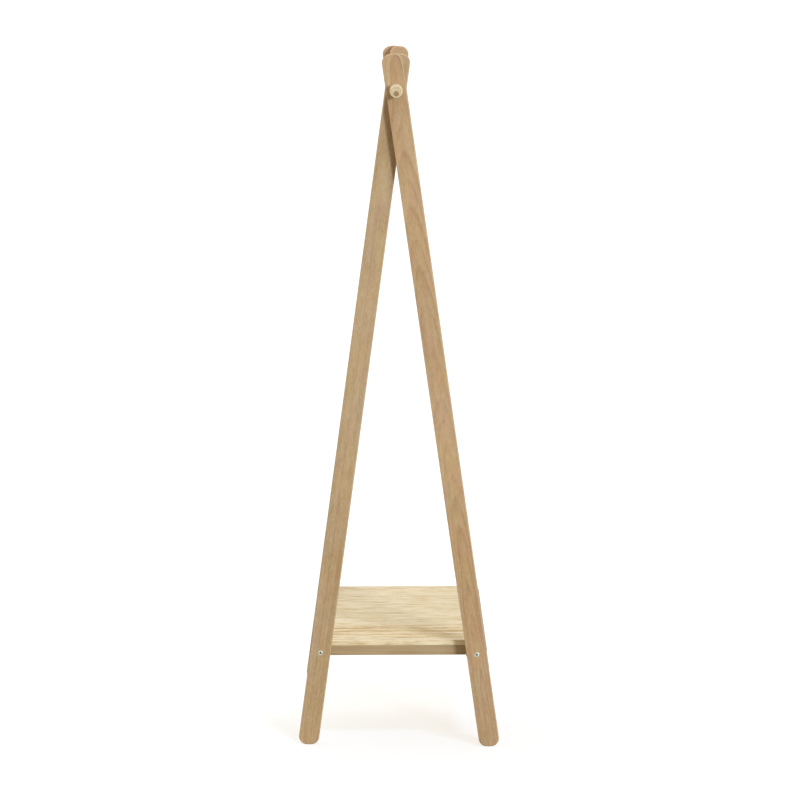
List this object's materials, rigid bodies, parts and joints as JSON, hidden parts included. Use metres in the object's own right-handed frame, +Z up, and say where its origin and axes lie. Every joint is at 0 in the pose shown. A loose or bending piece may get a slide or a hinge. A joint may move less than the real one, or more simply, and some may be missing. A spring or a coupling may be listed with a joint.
{
  "type": "open frame wardrobe",
  "caption": "Open A-frame wooden wardrobe: crossed legs hinged on a round hanging rail, with a slatted shoe shelf that hooks on below; it folds nearly flat.",
  "frame": {"origin": "on the floor, in the middle of the object's box, midway between the four feet", "axes": "+X along the hanging rail, +Y from the inner legs' feet (front) to the outer legs' feet (back), +Z up"},
  "size_m": [1, 0.479, 1.65],
  "materials": {
    "leg_wood": "oiled",
    "shelf_frame_wood": "oiled",
    "slat_wood": "soaped",
    "rail_wood": "soaped",
    "steel": "satin",
    "insert_brass": "plain",
    "nylon": "matt"
  },
  "bodies": {
    "outer_frame": {"hanging_rail": "rail_wood", "outer_leg_left": "leg_wood", "outer_leg_right": "leg_wood", "pivot_washer_left": "nylon", "pivot_washer_right": "nylon", "rail_pin_left": "rail_wood", "rail_pin_right": "rail_wood", "rail_plug_left": "leg_wood", "rail_plug_right": "leg_wood"},
    "shelf": {"hinge_insert_left": "insert_brass", "hinge_insert_right": "insert_brass", "shelf_cross_rail_left": "shelf_frame_wood", "shelf_cross_rail_middle": "shelf_frame_wood", "shelf_cross_rail_right": "shelf_frame_wood", "shelf_dowels": "rail_wood", "shelf_hinge_rail": "shelf_frame_wood", "shelf_hook_rail": "shelf_frame_wood", "shelf_pivot_bolt_left": "steel", "shelf_pivot_bolt_right": "steel", "shelf_slat_01": "slat_wood", "shelf_slat_02": "slat_wood", "shelf_slat_03": "slat_wood", "shelf_slat_04": "slat_wood", "shelf_slat_05": "slat_wood", "shelf_slat_06": "slat_wood", "shelf_slat_07": "slat_wood", "shelf_slat_08": "slat_wood", "shelf_slat_09": "slat_wood", "shelf_slat_10": "slat_wood", "shelf_slat_11": "slat_wood", "shelf_slat_12": "slat_wood", "shelf_slat_13": "slat_wood", "shelf_slat_14": "slat_wood", "shelf_slat_15": "slat_wood", "shelf_slat_16": "slat_wood", "shelf_slat_17": "slat_wood", "shelf_slat_18": "slat_wood", "shelf_slat_19": "slat_wood", "slat_screws": "steel"},
    "inner_frame": {"inner_leg_left": "leg_wood", "inner_leg_right": "leg_wood", "rest_bar": "steel", "rest_bar_bolt_left": "steel", "rest_bar_bolt_right": "steel"}
  },
  "joints": [
    {"name": "frame_fold", "type": "hinge", "parent": "outer_frame", "child": "inner_frame", "pos_m": [0, 0, 1.566], "axis": [1, 0, 0], "range_deg": [0, 14]},
    {"name": "shelf_swing", "type": "hinge", "parent": "outer_frame", "child": "shelf", "pos_m": [0, 0.18682, 0.224], "axis": [-1, 0, 0], "range_deg": [0, 82]}
  ],
  "couplings": [
    {"joint": "shelf_swing", "follows": "frame_fold", "ratio": 5.85}
  ]
}
